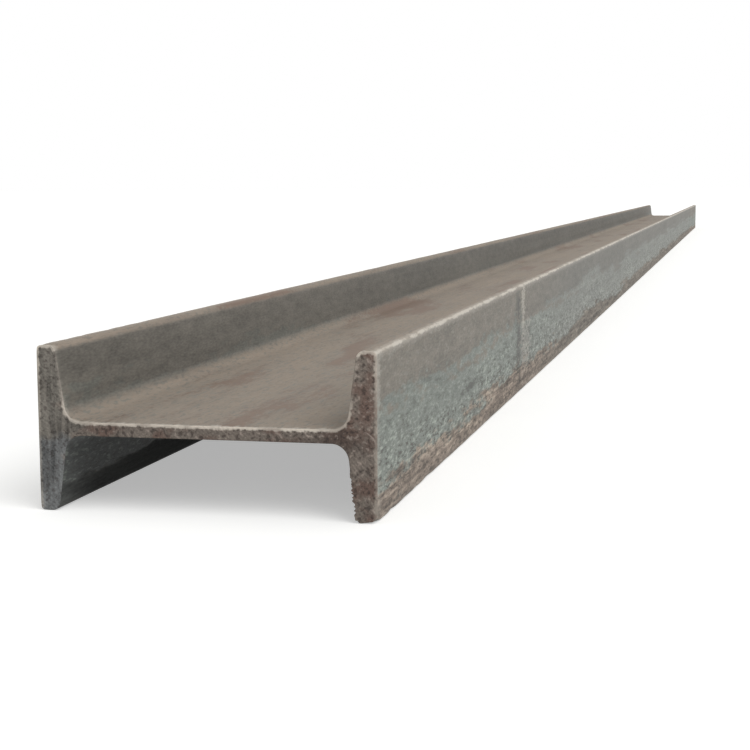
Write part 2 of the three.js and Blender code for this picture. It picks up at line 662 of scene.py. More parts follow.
# %% [markdown]
# The bands follow the height above the foot of the flange. A noise added to the height before it
# is compared moves the borders: a slow one makes them wander along the bar, a drawn-out one gives
# long tongues, and the fine ones break them into islands. A noise stays near its middle, so it
# takes a factor of tens to move a border by a few millimetres.

# %% Mill scale: the height that the bands go by
WANDER_LENGTH = 340.0
BORDER_SHIFTS = {"wander": 46.0, "tongues": 56.0, "clusters": 40.0, "speckle": 16.0}

slow_place = add_node(
    mill, "VectorMath", {0: mm, 1: (1 / DEPTH, 1 / WANDER_LENGTH, 0)}, operation="MULTIPLY"
)
wander = add_node(mill, "TexNoise", {"Vector": slow_place, "Scale": 1.0, "Detail": 2.0})
shifts = zip((wander, tongues, clusters, speckle), BORDER_SHIFTS.values())
level = add_swings(mill, height, shifts)
print("borders are moved by", ", ".join(BORDER_SHIFTS))

# %% [markdown]
# Some finishes change with the distance from the saw cut, at either end alike.

# %% Mill scale: the distance from the nearer cut
to_cut = add_node(mill, "Math", {0: along}, operation="ABSOLUTE")
to_cut = add_node(mill, "Math", {0: LENGTH / 2, 1: to_cut}, operation="SUBTRACT")
print("at mid-length the cut is", LENGTH / 2, "mm away")

# %% [markdown]
# The three bands are mixed from the middle outwards: cool scale everywhere, the brown head over it
# above its border, and the rusty foot over both below its own. Each colour is given twice, near
# the cut and further along the bar, where the three fade towards one another.

# %% Mill scale: three bands
HEAD_BORDER = 62.0
HEAD_BLUR = 4.5
FOOT_BORDER = 20.0
FOOT_BORDER_AT_CUT = 15.0
FOOT_RISE = 240.0
FOOT_BLUR = 3.4
FOOT_SHIFT_SHARE = 0.6
COOL_SCALE = ("#737972", "#777973")
HEAD_SCALE = ("#6e685e", "#66645d")
FOOT_SCALE = ("#877b71", "#79736b")
FADED_FROM = (450.0, 1100.0)

faded = add_node(mill, "MapRange", {0: to_cut, 1: FADED_FROM[0], 2: FADED_FROM[1]}, **SOFT)
cool_colour, head_colour, foot_colour = [
    add_node(
        mill, "Mix", {FACTOR: faded, UNDER: linear(near), OVER: linear(far)}, RESULT, **COLOURS
    )
    for near, far in (COOL_SCALE, HEAD_SCALE, FOOT_SCALE)
]
head = add_node(
    mill, "MapRange", {0: level, 1: HEAD_BORDER - HEAD_BLUR, 2: HEAD_BORDER + HEAD_BLUR}, **SOFT
)
foot_border = add_node(
    mill, "MapRange", {0: to_cut, 2: FOOT_RISE, 3: FOOT_BORDER_AT_CUT, 4: FOOT_BORDER}
)
foot_level = add_node(mill, "Mix", {0: FOOT_SHIFT_SHARE, 2: height, 3: level})
above_foot = add_node(mill, "Math", {0: foot_level, 1: foot_border}, operation="SUBTRACT")
foot = add_node(mill, "MapRange", {0: above_foot, 1: FOOT_BLUR, 2: -FOOT_BLUR}, **SOFT)
banded = cool_colour
for share, colour in ((head, head_colour), (foot, foot_colour)):
    banded = add_node(mill, "Mix", {FACTOR: share, UNDER: banded, OVER: colour}, RESULT, **COLOURS)
print(f"bands: foot to {FOOT_BORDER:.0f} mm, cool to {HEAD_BORDER:.0f} mm, head above")

# %% [markdown]
# Where the damp of the foot last dried, it left a pale line of lime and dust, broken into streaks.

# %% Mill scale: the tide line along the rusty foot
TIDE = "#b6a899"
TIDE_REACH = (-2.5, -9.0)
TIDE_STREAKS = (0.40, 0.64)
TIDE_SHARE = 0.62

full, none = TIDE_REACH
near_the_top = add_node(mill, "MapRange", {0: above_foot, 1: none, 2: full}, **SOFT)
tide_from, tide_to = TIDE_STREAKS
tide = add_node(mill, "MapRange", {0: streaks, 1: tide_from, 2: tide_to, 4: TIDE_SHARE}, **SOFT)
for share in (foot, near_the_top):
    tide = add_node(mill, "Math", {0: tide, 1: share}, operation="MULTIPLY")
tide = add_node(mill, "MapRange", {0: faded, 3: tide, 4: 0.0})
banded = add_node(mill, "Mix", {FACTOR: tide, UNDER: banded, OVER: linear(TIDE)}, RESULT, **COLOURS)
print(f"tide line: {-TIDE_REACH[1]:.0f} mm wide, under the border of the foot")

# %% [markdown]
# The faces inside the troughs lie in each other's shade and out of reach. Their bands hardly show:
# one plain grey-brown covers most of each, from just behind the outer face inwards. Under the web
# neither rain nor dust gets at the scale. Its faces there are painted a darker blue-black grey,
# which is painted shade, because the web keeps the light off them.

# %% Mill scale: the plainer faces inside the troughs, and painted shade under the web
INNER_SCALE = "#6b6861"
INNER_SHARE = 0.7
FACE_FADE = (0.8, 2.0)
# Painted shade: the faces under the web are darkened to a blue-black grey, because the web keeps
# the light off them.
UNDER_WEB_PAINTED_SHADE = "#484b4a"
UNDER_SHARE = 0.9
UNDER_BLUR = 1.0

from_middle = add_node(mill, "Math", {0: across}, operation="ABSOLUTE")
face_from, face_to = [DEPTH / 2 - behind for behind in FACE_FADE]
inner = add_node(mill, "MapRange", {0: from_middle, 1: face_from, 2: face_to, 4: INNER_SHARE})
below_web = WIDTH / 2 - UNDER_BLUR
# How much painted shade the inner faces under the web get.
under = add_node(
    mill, "MapRange", {0: height, 1: WIDTH / 2, 2: below_web, 4: UNDER_SHARE / INNER_SHARE}
)
under = add_node(mill, "Math", {0: under, 1: inner}, operation="MULTIPLY")
for share, colour in ((inner, INNER_SCALE), (under, UNDER_WEB_PAINTED_SHADE)):
    over = linear(colour)
    banded = add_node(mill, "Mix", {FACTOR: share, UNDER: banded, OVER: over}, RESULT, **COLOURS)
print(f"outer faces: more than {face_from:.1f} mm from the middle of the web")

# %% [markdown]
# Dark spots are pits where the scale has flaked off and rust has started; pale flecks are scale
# that has lifted and caught dust. Both are two or three millimetres across, and a few times as
# long. They get commoner towards the foot, and are thickest just above the rusty band, where they
# are what the eye reads as its border.

# %% Mill scale: pits and flecks
PIT = "#3f3b34"
PALE_SCALE = "#a3a99f"
PALE_RUST = "#b8a999"
PIT_EDGE = (0.53, 0.62)
FLECK_EDGE = (0.46, 0.37)
PIT_SHARES = (0.12, 0.88)
FLECK_SHARES = (0.14, 0.72)
QUIET_FOOT = 0.30
QUIET_INSIDE = 0.6
QUIET_FAR = 0.15
COMMON_FROM = (66.0, 32.0)

low_down = add_node(mill, "MapRange", {0: level, 1: COMMON_FROM[0], 2: COMMON_FROM[1]})
above, below = linear(PALE_SCALE), linear(PALE_RUST)
pale = add_node(mill, "Mix", {FACTOR: foot, UNDER: above, OVER: below}, RESULT, **COLOURS)
pit_mask, fleck_mask = [
    add_node(mill, "MapRange", {0: speckle, 1: none, 2: full}, **SOFT)
    for none, full in (PIT_EDGE, FLECK_EDGE)
]
spots = []
for mask, (rarest, commonest) in ((pit_mask, PIT_SHARES), (fleck_mask, FLECK_SHARES)):
    share = add_node(mill, "MapRange", {0: low_down, 3: rarest, 4: commonest})
    for quiet, by in ((foot, QUIET_FOOT), (inner, QUIET_INSIDE), (faded, QUIET_FAR)):
        share = add_node(mill, "Math", {0: quiet, 1: -by, 2: share}, operation="MULTIPLY_ADD")
    share = add_node(mill, "Math", {0: share, 1: 0.0}, operation="MAXIMUM")
    spots.append(add_node(mill, "Math", {0: mask, 1: share}, operation="MULTIPLY"))
pits, flecks = spots
pitted = add_node(mill, "Mix", {FACTOR: pits, UNDER: banded, OVER: linear(PIT)}, RESULT, **COLOURS)
flecked = add_node(mill, "Mix", {FACTOR: flecks, UNDER: pitted, OVER: pale}, RESULT, **COLOURS)
print(f"pits and flecks: about {SPECKLE_SIZE} mm, commonest below {COMMON_FROM[1]:.0f} mm")

# %% [markdown]
# Handling leaves thin scratches straight up the flange, where chains and hooks slid over it.
# They are a noise squeezed along the bar and stretched up the flange, cut off so that only its
# rare peaks are left.

# %% Mill scale: scratches
SCRATCH_WIDTH = 2.2
SCRATCH_LENGTH = 45.0
SCRATCH_PEAKS = (0.71, 0.79)
SCRATCH_DARK = 0.35
# A dark colour for the scratches and the smudge, and for the tie rod's painted shadow.
DARK_MARK_AND_SHADOW = "#3d3c37"

squeeze = (1 / SCRATCH_LENGTH, 1 / SCRATCH_WIDTH, 1 / SCRATCH_LENGTH)
upright = add_node(mill, "VectorMath", {0: mm, 1: squeeze}, operation="MULTIPLY")
peaks = add_node(mill, "TexNoise", {"Vector": upright, "Scale": 1.0, "Detail": 2.0})
faint, full = SCRATCH_PEAKS
scratches = add_node(mill, "MapRange", {0: peaks, 1: faint, 2: full, 4: SCRATCH_DARK}, **SOFT)
marked_and_shaded = add_node(
    mill, "Mix", {FACTOR: scratches, UNDER: flecked, OVER: linear(DARK_MARK_AND_SHADOW)}, RESULT, **COLOURS
)
print(f"scratches: {SCRATCH_WIDTH} mm wide, up to {SCRATCH_LENGTH:.0f} mm long")

# %% [markdown]
# The right flange shows where a rod once tied the bar into a bundle. The rod is left out, and its
# cast shadow is painted on as a dark stripe, fainter up on the head; beside it a pale line is
# painted light, and lower down a pale patch spreads. One long smudge lies nearer the cut. Each is
# an ellipse round a place on the outer face. The clusters and the speckle break it up, at its edge
# and inside, so that the skin of the steel shows through.

# %% Mill scale: the tie rod's painted shadow and light, and a smudge
# The first two are the rod's painted shadow and the third is painted light beside it; then come a
# pale patch and a smudge.
TIE_SHADOW_LIGHT_AND_MARKS = (
    {"centre": (563, 40), "half": (14, 34), "share": 0.80, "colour": DARK_MARK_AND_SHADOW},
    {"centre": (556, 84), "half": (11, 26), "share": 0.50, "colour": DARK_MARK_AND_SHADOW},
    {"centre": (590, 82), "half": (9, 28), "share": 0.52, "colour": "#b8b3a7"},
    {"centre": (606, 38), "half": (30, 26), "share": 0.45, "colour": "#9c948b"},
    {"centre": (296, 39), "half": (36, 2.4), "share": 0.85, "colour": DARK_MARK_AND_SHADOW},
)
PATCH_EDGE = (1.25, 0.55)
PATCH_BREAKS = {"clusters": 2.4, "speckle": 6.0}

patch_from, patch_to = PATCH_EDGE
outer_right = add_node(mill, "MapRange", {0: across, 1: face_to, 2: face_from})
for patch in TIE_SHADOW_LIGHT_AND_MARKS:
    centre = (0.0, patch["centre"][0] - LENGTH / 2, patch["centre"][1])
    shape = (0.0, 1 / patch["half"][0], 1 / patch["half"][1])
    offset = add_node(mill, "VectorMath", {0: mm, 1: centre}, operation="SUBTRACT")
    offset = add_node(mill, "VectorMath", {0: offset, 1: shape}, operation="MULTIPLY")
    reach = add_node(mill, "VectorMath", {0: offset}, output=1, operation="LENGTH")
    reach = add_swings(mill, reach, zip((clusters, speckle), PATCH_BREAKS.values()))
    share = add_node(
        mill, "MapRange", {0: reach, 1: patch_from, 2: patch_to, 4: patch["share"]}, **SOFT
    )
    share = add_node(mill, "Math", {0: share, 1: outer_right}, operation="MULTIPLY")
    colour = linear(patch["colour"])
    marked_and_shaded = add_node(mill, "Mix", {FACTOR: share, UNDER: marked_and_shaded, OVER: colour}, RESULT, **COLOURS)
print("marks at", [patch["centre"][0] for patch in TIE_SHADOW_LIGHT_AND_MARKS], "mm from the cut")

# %% [markdown]
# Dust settles on whatever faces up, most of all on the web inside the upper trough. Rain stands
# there as well: where it dried, the scale has rusted in patches under the dust. The shader's own
# normal says what faces up, so the dust thins out up the curve of each fillet by itself.

# %% Mill scale: rust and dust on what faces up
WEB_RUST = "#6f533f"
DUST = "#988b7d"
FACES_UP = (0.12, 0.75)
PUDDLE_WEIGHT = 3.0
RUST_EDGE = (2.08, 2.40)
RUST_SHARE = 0.75
DUST_SHARE = 0.78
DUST_PATTERN = {"roll lines": 0.3, "streaks": 0.5, "dust grain": -1.2, "puddles": -1.0}
DUST_OFF_RUST = -0.6
DUST_OFF_SPOTS = -0.45

normal_up = add_node(mill, "SeparateXYZ", {0: place.node.outputs["Normal"]}, output="Z")
faces_up = add_node(mill, "MapRange", {0: normal_up, 1: FACES_UP[0], 2: FACES_UP[1]}, **SOFT)
stained = add_node(
    mill, "Math", {0: puddles, 1: PUDDLE_WEIGHT, 2: dust_grain}, operation="MULTIPLY_ADD"
)
dry, wet = RUST_EDGE
stained = add_node(mill, "MapRange", {0: stained, 1: dry, 2: wet, 4: RUST_SHARE}, **SOFT)
stained = add_node(mill, "Math", {0: stained, 1: faces_up}, operation="MULTIPLY")
rusty = add_node(
    mill, "Mix", {FACTOR: stained, UNDER: marked_and_shaded, OVER: linear(WEB_RUST)}, RESULT, **COLOURS
)
pattern = zip((roll_lines, streaks, dust_grain, puddles), DUST_PATTERN.values())
settled = add_swings(mill, DUST_SHARE, pattern)
for less, by in ((stained, DUST_OFF_RUST), (pit_mask, DUST_OFF_SPOTS)):
    settled = add_node(mill, "Math", {0: less, 1: by, 2: settled}, operation="MULTIPLY_ADD")
dust = add_node(mill, "Math", {0: faces_up, 1: settled}, operation="MULTIPLY")
dusty = add_node(mill, "Mix", {FACTOR: dust, UNDER: rusty, OVER: linear(DUST)}, RESULT, **COLOURS)
print(f"dust: {DUST_SHARE:.0%} of what faces up, less over rust and pits")

# %% [markdown]
# Light and dark come from several scales of the same skin: grit of about a millimetre, clusters of
# pits, lines drawn out along the bar by the rolls, slow blotches where the scale is thicker, and
# the streaks of the rusty foot. Their sum scales the colour up and down around one. Where dust
# lies it hides the skin, and its own grain takes over.

# %% Mill scale: light and dark
TONES = {"grit": 0.9, "clusters": 0.8, "roll lines": 0.5, "blotches": 0.5, "foot streaks": 1.9}
DUST_TONE = 0.8
DUST_HIDES = 0.8

foot_streaks = add_node(mill, "Mix", {0: foot, 2: 0.5, 3: streaks})
tones = zip((grit, clusters, roll_lines, blotches, foot_streaks), TONES.values())
tone = add_swings(mill, 1.0, tones)
dust_tone = add_swings(mill, 1.0, [(dust_grain, DUST_TONE)])
hidden = add_node(mill, "MapRange", {0: faces_up, 4: DUST_HIDES})
tone = add_node(mill, "Mix", {0: hidden, 2: tone, 3: dust_tone})
toned = add_node(mill, "Mix", {FACTOR: 1.0, UNDER: dusty, OVER: tone}, RESULT, **MULTIPLIED)
print("light and dark from", ", ".join(TONES))

# %% [markdown]
# The edges are rubbed pale, and the pale line is partly a painted highlight, the light the edges
# catch. Along a free edge it is a few millimetres wide, with a fainter shoulder beside it; next to
# the saw cut it is wider, because the saw's clamp and the handling of the ends wear the scale
# there.
# The mesh says how far each point is from a free edge and how much rub and painted highlight its
# edge gets, and the speckle and clusters make the pale line stop raggedly.

# %% Mill scale: rubbed edges with a painted highlight
# A pale colour on the edges that is partly rub and partly painted highlight.
PALE_RUB_AND_HIGHLIGHT = "#cbc4b9"
TOE_PALE_EDGE = (0.6, 2.9)
TOE_SHOULDER = (2.5, 6.0)
TOE_SHOULDER_SHARE = 0.3
TOE_RAGGED = 0.45
CUT_PALE_EDGE = (2.5, 10.5)
CUT_PALE_EDGE_INSIDE = 5.0
CUT_RAGGED = 1.5
CUT_PALE_EDGE_SHARE = 0.62
RAGGED_SPAN = (0.9, 1.1)

edge_rub_and_highlight = add_node(mill, "Attribute", output="Fac", attribute_name="rub_and_highlight")
toe_distance = add_node(mill, "Attribute", output="Fac", attribute_name="toe_mm")
ragged = add_node(mill, "Math", {0: speckle, 1: clusters}, operation="ADD")
least, most = RAGGED_SPAN
ragged = add_node(mill, "MapRange", {0: ragged, 1: least, 2: most, 3: -1.0, 4: 1.0}, clamp=False)
to_toe = add_node(
    mill, "Math", {0: ragged, 1: TOE_RAGGED, 2: toe_distance}, operation="MULTIPLY_ADD"
)
full, none = TOE_PALE_EDGE
pale_edge = add_node(mill, "MapRange", {0: to_toe, 1: none, 2: full}, **SOFT)
full, none = TOE_SHOULDER
shoulder = add_node(mill, "MapRange", {0: to_toe, 1: none, 2: full, 4: TOE_SHOULDER_SHARE}, **SOFT)
pale_edge = add_node(mill, "Math", {0: pale_edge, 1: shoulder}, operation="MAXIMUM")
beside_cut = add_node(mill, "Math", {0: ragged, 1: CUT_RAGGED, 2: to_cut}, operation="MULTIPLY_ADD")
narrower = add_node(mill, "MapRange", {0: inner, 2: INNER_SHARE, 4: CUT_PALE_EDGE_INSIDE})
beside_cut = add_node(mill, "Math", {0: beside_cut, 1: narrower}, operation="ADD")
full, none = CUT_PALE_EDGE
pale_by_cut = add_node(mill, "MapRange", {0: beside_cut, 1: none, 2: full, 4: CUT_PALE_EDGE_SHARE}, **SOFT)
pale_edge = add_node(mill, "Math", {0: pale_edge, 1: pale_by_cut}, operation="MAXIMUM")
# The painted highlight and the rub follow how much each edge looks up.
pale_edge = add_node(mill, "Math", {0: pale_edge, 1: edge_rub_and_highlight}, operation="MULTIPLY")
scale_colour = add_node(
    mill, "Mix", {FACTOR: pale_edge, UNDER: toned, OVER: linear(PALE_RUB_AND_HIGHLIGHT)}, RESULT, **COLOURS
)
print(f"rubs: to {TOE_SHOULDER[1]} mm from a free edge, {CUT_PALE_EDGE[1]} mm from a cut")

# %% [markdown]
# The sheen goes with the oxide: clean scale is part metal to the light and fairly smooth, while
# rust and dust are dull and not metal at all. The relief is a tenth of a millimetre, so it is a
# bump here and not geometry.

# %% Mill scale: sheen and relief
CLEAN_ROUGHNESS = 0.58
DULL_ROUGHNESS = 0.92
CLEAN_METAL = 0.22
PIT_RELIEF = -0.16
FLECK_RELIEF = 0.07
CLUSTER_RELIEF = 0.25
LINE_RELIEF = 0.08

dull = add_node(mill, "Math", {0: foot, 1: dust}, operation="MAXIMUM")
roughness = add_node(mill, "MapRange", {0: dull, 3: CLEAN_ROUGHNESS, 4: DULL_ROUGHNESS})
metal = add_node(mill, "MapRange", {0: dull, 3: CLEAN_METAL, 4: 0.0})
relief = add_node(mill, "Math", {0: clusters, 1: CLUSTER_RELIEF}, operation="MULTIPLY")
for source, depth in ((pits, PIT_RELIEF), (flecks, FLECK_RELIEF), (roll_lines, LINE_RELIEF)):
    relief = add_node(mill, "Math", {0: source, 1: depth, 2: relief}, operation="MULTIPLY_ADD")
scale_normal = add_node(mill, "Bump", {"Height": relief, "Distance": MM, "Strength": 1.0})
scale_shader = add_node(
    mill,
    "BsdfPrincipled",
    {"Base Color": scale_colour, "Metallic": metal, "Roughness": roughness, "Normal": scale_normal},
)
add_node(mill, "OutputMaterial", {"Surface": scale_shader})
mesh.materials.append(mill_scale)
print(mill_scale.name, "has", len(mill.nodes), "nodes")

# %% [markdown]
# ## Finish 2: the saw cut, flash rusted
#
# The saw leaves bright steel, and one damp night turns it brown. Flash rust is a thin uneven
# film, so the arcs of the blade still show through it, with darker pits where it has gone deeper
# and paler grains where it hasn't taken. It is an oxide with no metal sheen left: dull, taupe,
# and warmer where it is thicker. The left flange kept dry, and is cooler and greyer.

# %% Saw cut: places and noises
saw_cut = bpy.data.materials.new("saw_cut_flash_rust")
saw_cut.use_nodes = True
cut = saw_cut.node_tree
cut.nodes.clear()

GRAIN_SIZE = 2.6
FINE_SIZE = 1.1
STAIN_SIZE = 14.0

cut_place = add_node(cut, "TexCoord", output="Object")
cut_mm = add_node(cut, "VectorMath", {0: cut_place, "Scale": 1 / MM}, operation="SCALE")
cut_across, _, cut_height = add_node(cut, "SeparateXYZ", {0: cut_mm}).node.outputs
grain = add_node(cut, "TexNoise", {"Vector": cut_mm, "Scale": 1 / GRAIN_SIZE, "Detail": 2.0})
fine = add_node(cut, "TexNoise", {"Vector": cut_mm, "Scale": 1 / FINE_SIZE, "Detail": 1.0})
stains = add_node(cut, "TexNoise", {"Vector": cut_mm, "Scale": 1 / STAIN_SIZE, "Detail": 5.0})
print(f"noises of {FINE_SIZE}, {GRAIN_SIZE} and {STAIN_SIZE} mm over the cut")

# %% [markdown]
# Two films share most of the cut, one browner and one greyer, and the stains choose between them.
# The web leans to the grey one. The left flange has a cool film instead, warmer in its upper half;
# the stains push the borders about, so that neither runs straight.

# %% Saw cut: colour of the rust
RUST_FILM = "#6d5a51"
GREY_FILM = "#70675f"
FILM_EDGE = (0.42, 0.60)
WEB_GREYER = (10.0, 50.0)
GREYER_BY = 0.07
COOL_LOW = "#6c6f70"
COOL_HIGH = "#6e6a63"
COOL_RISE = (50.0, 57.0)
RISE_SHIFT = 24.0
COOL_REACH = (-42.0, -54.0)
REACH_SHIFT = 60.0
COOL_SHARE = 0.9

web_from, web_to = WEB_GREYER
film = add_node(cut, "MapRange", {0: cut_across, 1: web_from, 2: web_to, 3: GREYER_BY, 4: 0.0})
film = add_node(cut, "Math", {0: stains, 1: film}, operation="ADD")
film = add_node(cut, "MapRange", {0: film, 1: FILM_EDGE[0], 2: FILM_EDGE[1]}, **SOFT)
rusted = add_node(
    cut, "Mix", {FACTOR: film, UNDER: linear(RUST_FILM), OVER: linear(GREY_FILM)}, RESULT, **COLOURS
)
rise = add_node(cut, "Math", {0: stains, 1: RISE_SHIFT, 2: cut_height}, operation="MULTIPLY_ADD")
rise = add_node(cut, "MapRange", {0: rise, 1: COOL_RISE[0], 2: COOL_RISE[1]}, **SOFT)
cool_film = add_node(
    cut, "Mix", {FACTOR: rise, UNDER: linear(COOL_LOW), OVER: linear(COOL_HIGH)}, RESULT, **COLOURS
)
cool = add_node(cut, "Math", {0: stains, 1: REACH_SHIFT, 2: cut_across}, operation="MULTIPLY_ADD")
none, full = COOL_REACH
cool = add_node(cut, "MapRange", {0: cool, 1: none, 2: full, 4: COOL_SHARE}, **SOFT)
rusted = add_node(cut, "Mix", {FACTOR: cool, UNDER: rusted, OVER: cool_film}, RESULT, **COLOURS)
print(f"film: {RUST_FILM} to {GREY_FILM}, {COOL_LOW} to {COOL_HIGH} on the left flange")

# %% [markdown]
# Under the right fillet, where the two thick parts meet, the cut is darker in one patch: an
# ellipse with its outline broken by the same stains as the rest.

# %% Saw cut: a dark patch under the right fillet
STAIN = "#453a34"
STAIN_CENTRE = (72.0, 42.0)
STAIN_HALF = (32.0, 12.0)
STAIN_EDGE = (2.0, 1.0)
STAIN_RAGGED = 1.6
STAIN_SHARE = 0.72

centre = (STAIN_CENTRE[0], 0.0, STAIN_CENTRE[1])
offset = add_node(cut, "VectorMath", {0: cut_mm, 1: centre}, operation="SUBTRACT")
shape = (1 / STAIN_HALF[0], 0.0, 1 / STAIN_HALF[1])
offset = add_node(cut, "VectorMath", {0: offset, 1: shape}, operation="MULTIPLY")
reach = add_node(cut, "VectorMath", {0: offset}, output=1, operation="LENGTH")
reach = add_node(cut, "Math", {0: stains, 1: STAIN_RAGGED, 2: reach}, operation="MULTIPLY_ADD")
none, full = STAIN_EDGE
darker = add_node(cut, "MapRange", {0: reach, 1: none, 2: full, 4: STAIN_SHARE}, **SOFT)
rusted = add_node(cut, "Mix", {FACTOR: darker, UNDER: rusted, OVER: linear(STAIN)}, RESULT, **COLOURS)
print(f"damp stain round {STAIN_CENTRE} mm, {2 * STAIN_HALF[0]:.0f} mm long")

# %% [markdown]
# The film is rough. Where the grain noise is high, rust has bitten a dark pit, and where it is
# low a grain of steel still shows pale. On the left flange, which kept dry, the pits are fainter
# and the even film has no pale grains.

# %% Saw cut: pits and pale grains
PALE_GRAIN = "#9b8e85"
GRAINS = (
    {"edge": (0.54, 0.65), "colour": "#332926", "share": 0.65, "quiet": 0.20},
    {"edge": (0.43, 0.33), "colour": PALE_GRAIN, "share": 0.55, "quiet": 1.0},
)

for kind in GRAINS:
    none, full = kind["edge"]
    still_rough = add_node(cut, "MapRange", {0: cool, 3: 1.0, 4: 1.0 - kind["quiet"]})
    mask = add_node(cut, "MapRange", {0: grain, 1: none, 2: full, 4: kind["share"]}, **SOFT)
    mask = add_node(cut, "Math", {0: mask, 1: still_rough}, operation="MULTIPLY")
    colour = linear(kind["colour"])
    rusted = add_node(cut, "Mix", {FACTOR: mask, UNDER: rusted, OVER: colour}, RESULT, **COLOURS)
print("pits and grains:", ", ".join(kind["colour"] for kind in GRAINS))

# %% [markdown]
# Water ran down the cool flange and dried in upright streaks, and the stains mottle it. Beside the
# right fillet something hard slipped and left a short bright scuff: a quarter of a circle, above
# and beside its centre.

# %% Saw cut: upright streaks and a scuff
RUN_SIZE = (3.2, 40.0)
RUN_CONTRAST = 2.2
MOTTLE_CONTRAST = 0.8
SCUFF = {"centre": (90.0, 42.0), "radius": 9.5, "width": 0.7, "share": 0.8, "ends": (2.0, 4.5)}

squeeze = (1 / RUN_SIZE[0], 0, 1 / RUN_SIZE[1])
run_place = add_node(cut, "VectorMath", {0: cut_mm, 1: squeeze}, operation="MULTIPLY")
runs = add_node(cut, "TexNoise", {"Vector": run_place, "Scale": 1.0, "Detail": 3.0})
cool_tone = add_swings(cut, 0.0, ((runs, RUN_CONTRAST), (stains, MOTTLE_CONTRAST)))
cool_tone = add_node(cut, "Math", {0: cool_tone, 1: cool}, operation="MULTIPLY")
centre = (SCUFF["centre"][0], 0.0, SCUFF["centre"][1])
offset = add_node(cut, "VectorMath", {0: cut_mm, 1: centre}, operation="SUBTRACT")
offset = add_node(cut, "VectorMath", {0: offset, 1: (1, 0, 1)}, operation="MULTIPLY")
beside, _, above = add_node(cut, "SeparateXYZ", {0: offset}).node.outputs
reach = add_node(cut, "VectorMath", {0: offset}, output=1, operation="LENGTH")
off_the_arc = add_node(cut, "Math", {0: reach, 1: SCUFF["radius"]}, operation="SUBTRACT")
off_the_arc = add_node(cut, "Math", {0: off_the_arc}, operation="ABSOLUTE")
scuff = add_node(
    cut, "MapRange", {0: off_the_arc, 1: SCUFF["width"], 2: 0.0, 4: SCUFF["share"]}, **SOFT
)
none, full = SCUFF["ends"]
for offset_mm in (above, beside):
    quarter = add_node(cut, "MapRange", {0: offset_mm, 1: none, 2: full})
    scuff = add_node(cut, "Math", {0: scuff, 1: quarter}, operation="MULTIPLY")
colour = linear(PALE_GRAIN)
rusted = add_node(cut, "Mix", {FACTOR: scuff, UNDER: rusted, OVER: colour}, RESULT, **COLOURS)
print(f"streaks {RUN_SIZE[0]} mm wide, scuff of {SCUFF['radius']} mm radius")

# %% [markdown]
# A blade's teeth leave arcs a fraction of a millimetre apart. They are drawn at two millimetres
# here, which is as fine as shows at this distance. The arcs share the centre that the chatter in
# the mesh has, so both run the same way.

# %% Saw cut: the blade's arcs
ARC_PITCH = 2.0
ARC_CONTRAST = 0.08
ARC_WANDER = 14.0
ARC_EDGE = (0.38, 0.62)
ARC_LEAST = 0.2

flat_place = add_node(cut, "VectorMath", {0: cut_mm, 1: (1, 0, 1)}, operation="MULTIPLY")
blade_centre = (BLADE_CENTRE[0], 0, BLADE_CENTRE[1])
radius = add_node(
    cut, "VectorMath", {0: flat_place, 1: blade_centre}, output=1, operation="DISTANCE"
)
turns = add_node(cut, "Math", {0: radius, 1: 2 * math.pi / ARC_PITCH}, operation="MULTIPLY")
turns = add_node(cut, "Math", {0: stains, 1: ARC_WANDER, 2: turns}, operation="MULTIPLY_ADD")
arcs = add_node(cut, "Math", {0: turns}, operation="SINE")
faint, full = ARC_EDGE
arc_share = add_node(cut, "MapRange", {0: stains, 1: faint, 2: full, 3: ARC_LEAST, 4: 1.0})
arcs = add_node(cut, "Math", {0: arcs, 1: arc_share}, operation="MULTIPLY")
print(f"arcs every {ARC_PITCH} mm round {BLADE_CENTRE}")

# %% [markdown]
# Fine grit, the stains, the arcs and the streaks make the light and dark of the cut, and it is a
# little darker towards the bottom. Its rim is rubbed bare in a line about a millimetre wide,
# wandering with the grain and stronger in some places than others; the line is partly a painted
# highlight, strongest on the edges that look up and none on those under the web.

# %% Saw cut: light, dark and the rubbed rim with its painted highlight
FOOT_TO_TOP = (0.91, 1.07)
FINE_CONTRAST = 1.0
STAIN_CONTRAST = 1.0
# The pale rim is partly rub and partly painted highlight along the edge of the cut.
CUT_RIM_RUBBED_AND_LIT = "#d4cabd"
RIM_PALE_EDGE = (1.9, 3.1)
RIM_WANDER = 3.0
RIM_EDGE = (0.40, 0.60)
RIM_LEAST = 0.55

low, high = FOOT_TO_TOP
cut_tone = add_node(cut, "MapRange", {0: cut_height, 2: WIDTH, 3: low, 4: high})
cut_tone = add_swings(cut, cut_tone, ((fine, FINE_CONTRAST), (stains, STAIN_CONTRAST)))
cut_tone = add_node(cut, "Math", {0: arcs, 1: ARC_CONTRAST, 2: cut_tone}, operation="MULTIPLY_ADD")
cut_tone = add_node(cut, "Math", {0: cut_tone, 1: cool_tone}, operation="ADD")
cut_toned = add_node(cut, "Mix", {FACTOR: 1.0, UNDER: rusted, OVER: cut_tone}, RESULT, **MULTIPLIED)
rim_distance = add_node(cut, "Attribute", output="Fac", attribute_name="rim_mm")
rim = add_node(cut, "Math", {0: grain, 1: RIM_WANDER, 2: rim_distance}, operation="MULTIPLY_ADD")
full, none = RIM_PALE_EDGE
rim = add_node(cut, "MapRange", {0: rim, 1: none, 2: full}, **SOFT)
faint, full = RIM_EDGE
rim_share = add_node(cut, "MapRange", {0: stains, 1: faint, 2: full, 3: RIM_LEAST, 4: 1.0})
rim = add_node(cut, "Math", {0: rim, 1: rim_share}, operation="MULTIPLY")
rim_rub_and_highlight = add_node(cut, "Attribute", output="Fac", attribute_name="rub_and_highlight")
rim = add_node(cut, "Math", {0: rim, 1: rim_rub_and_highlight}, operation="MULTIPLY")
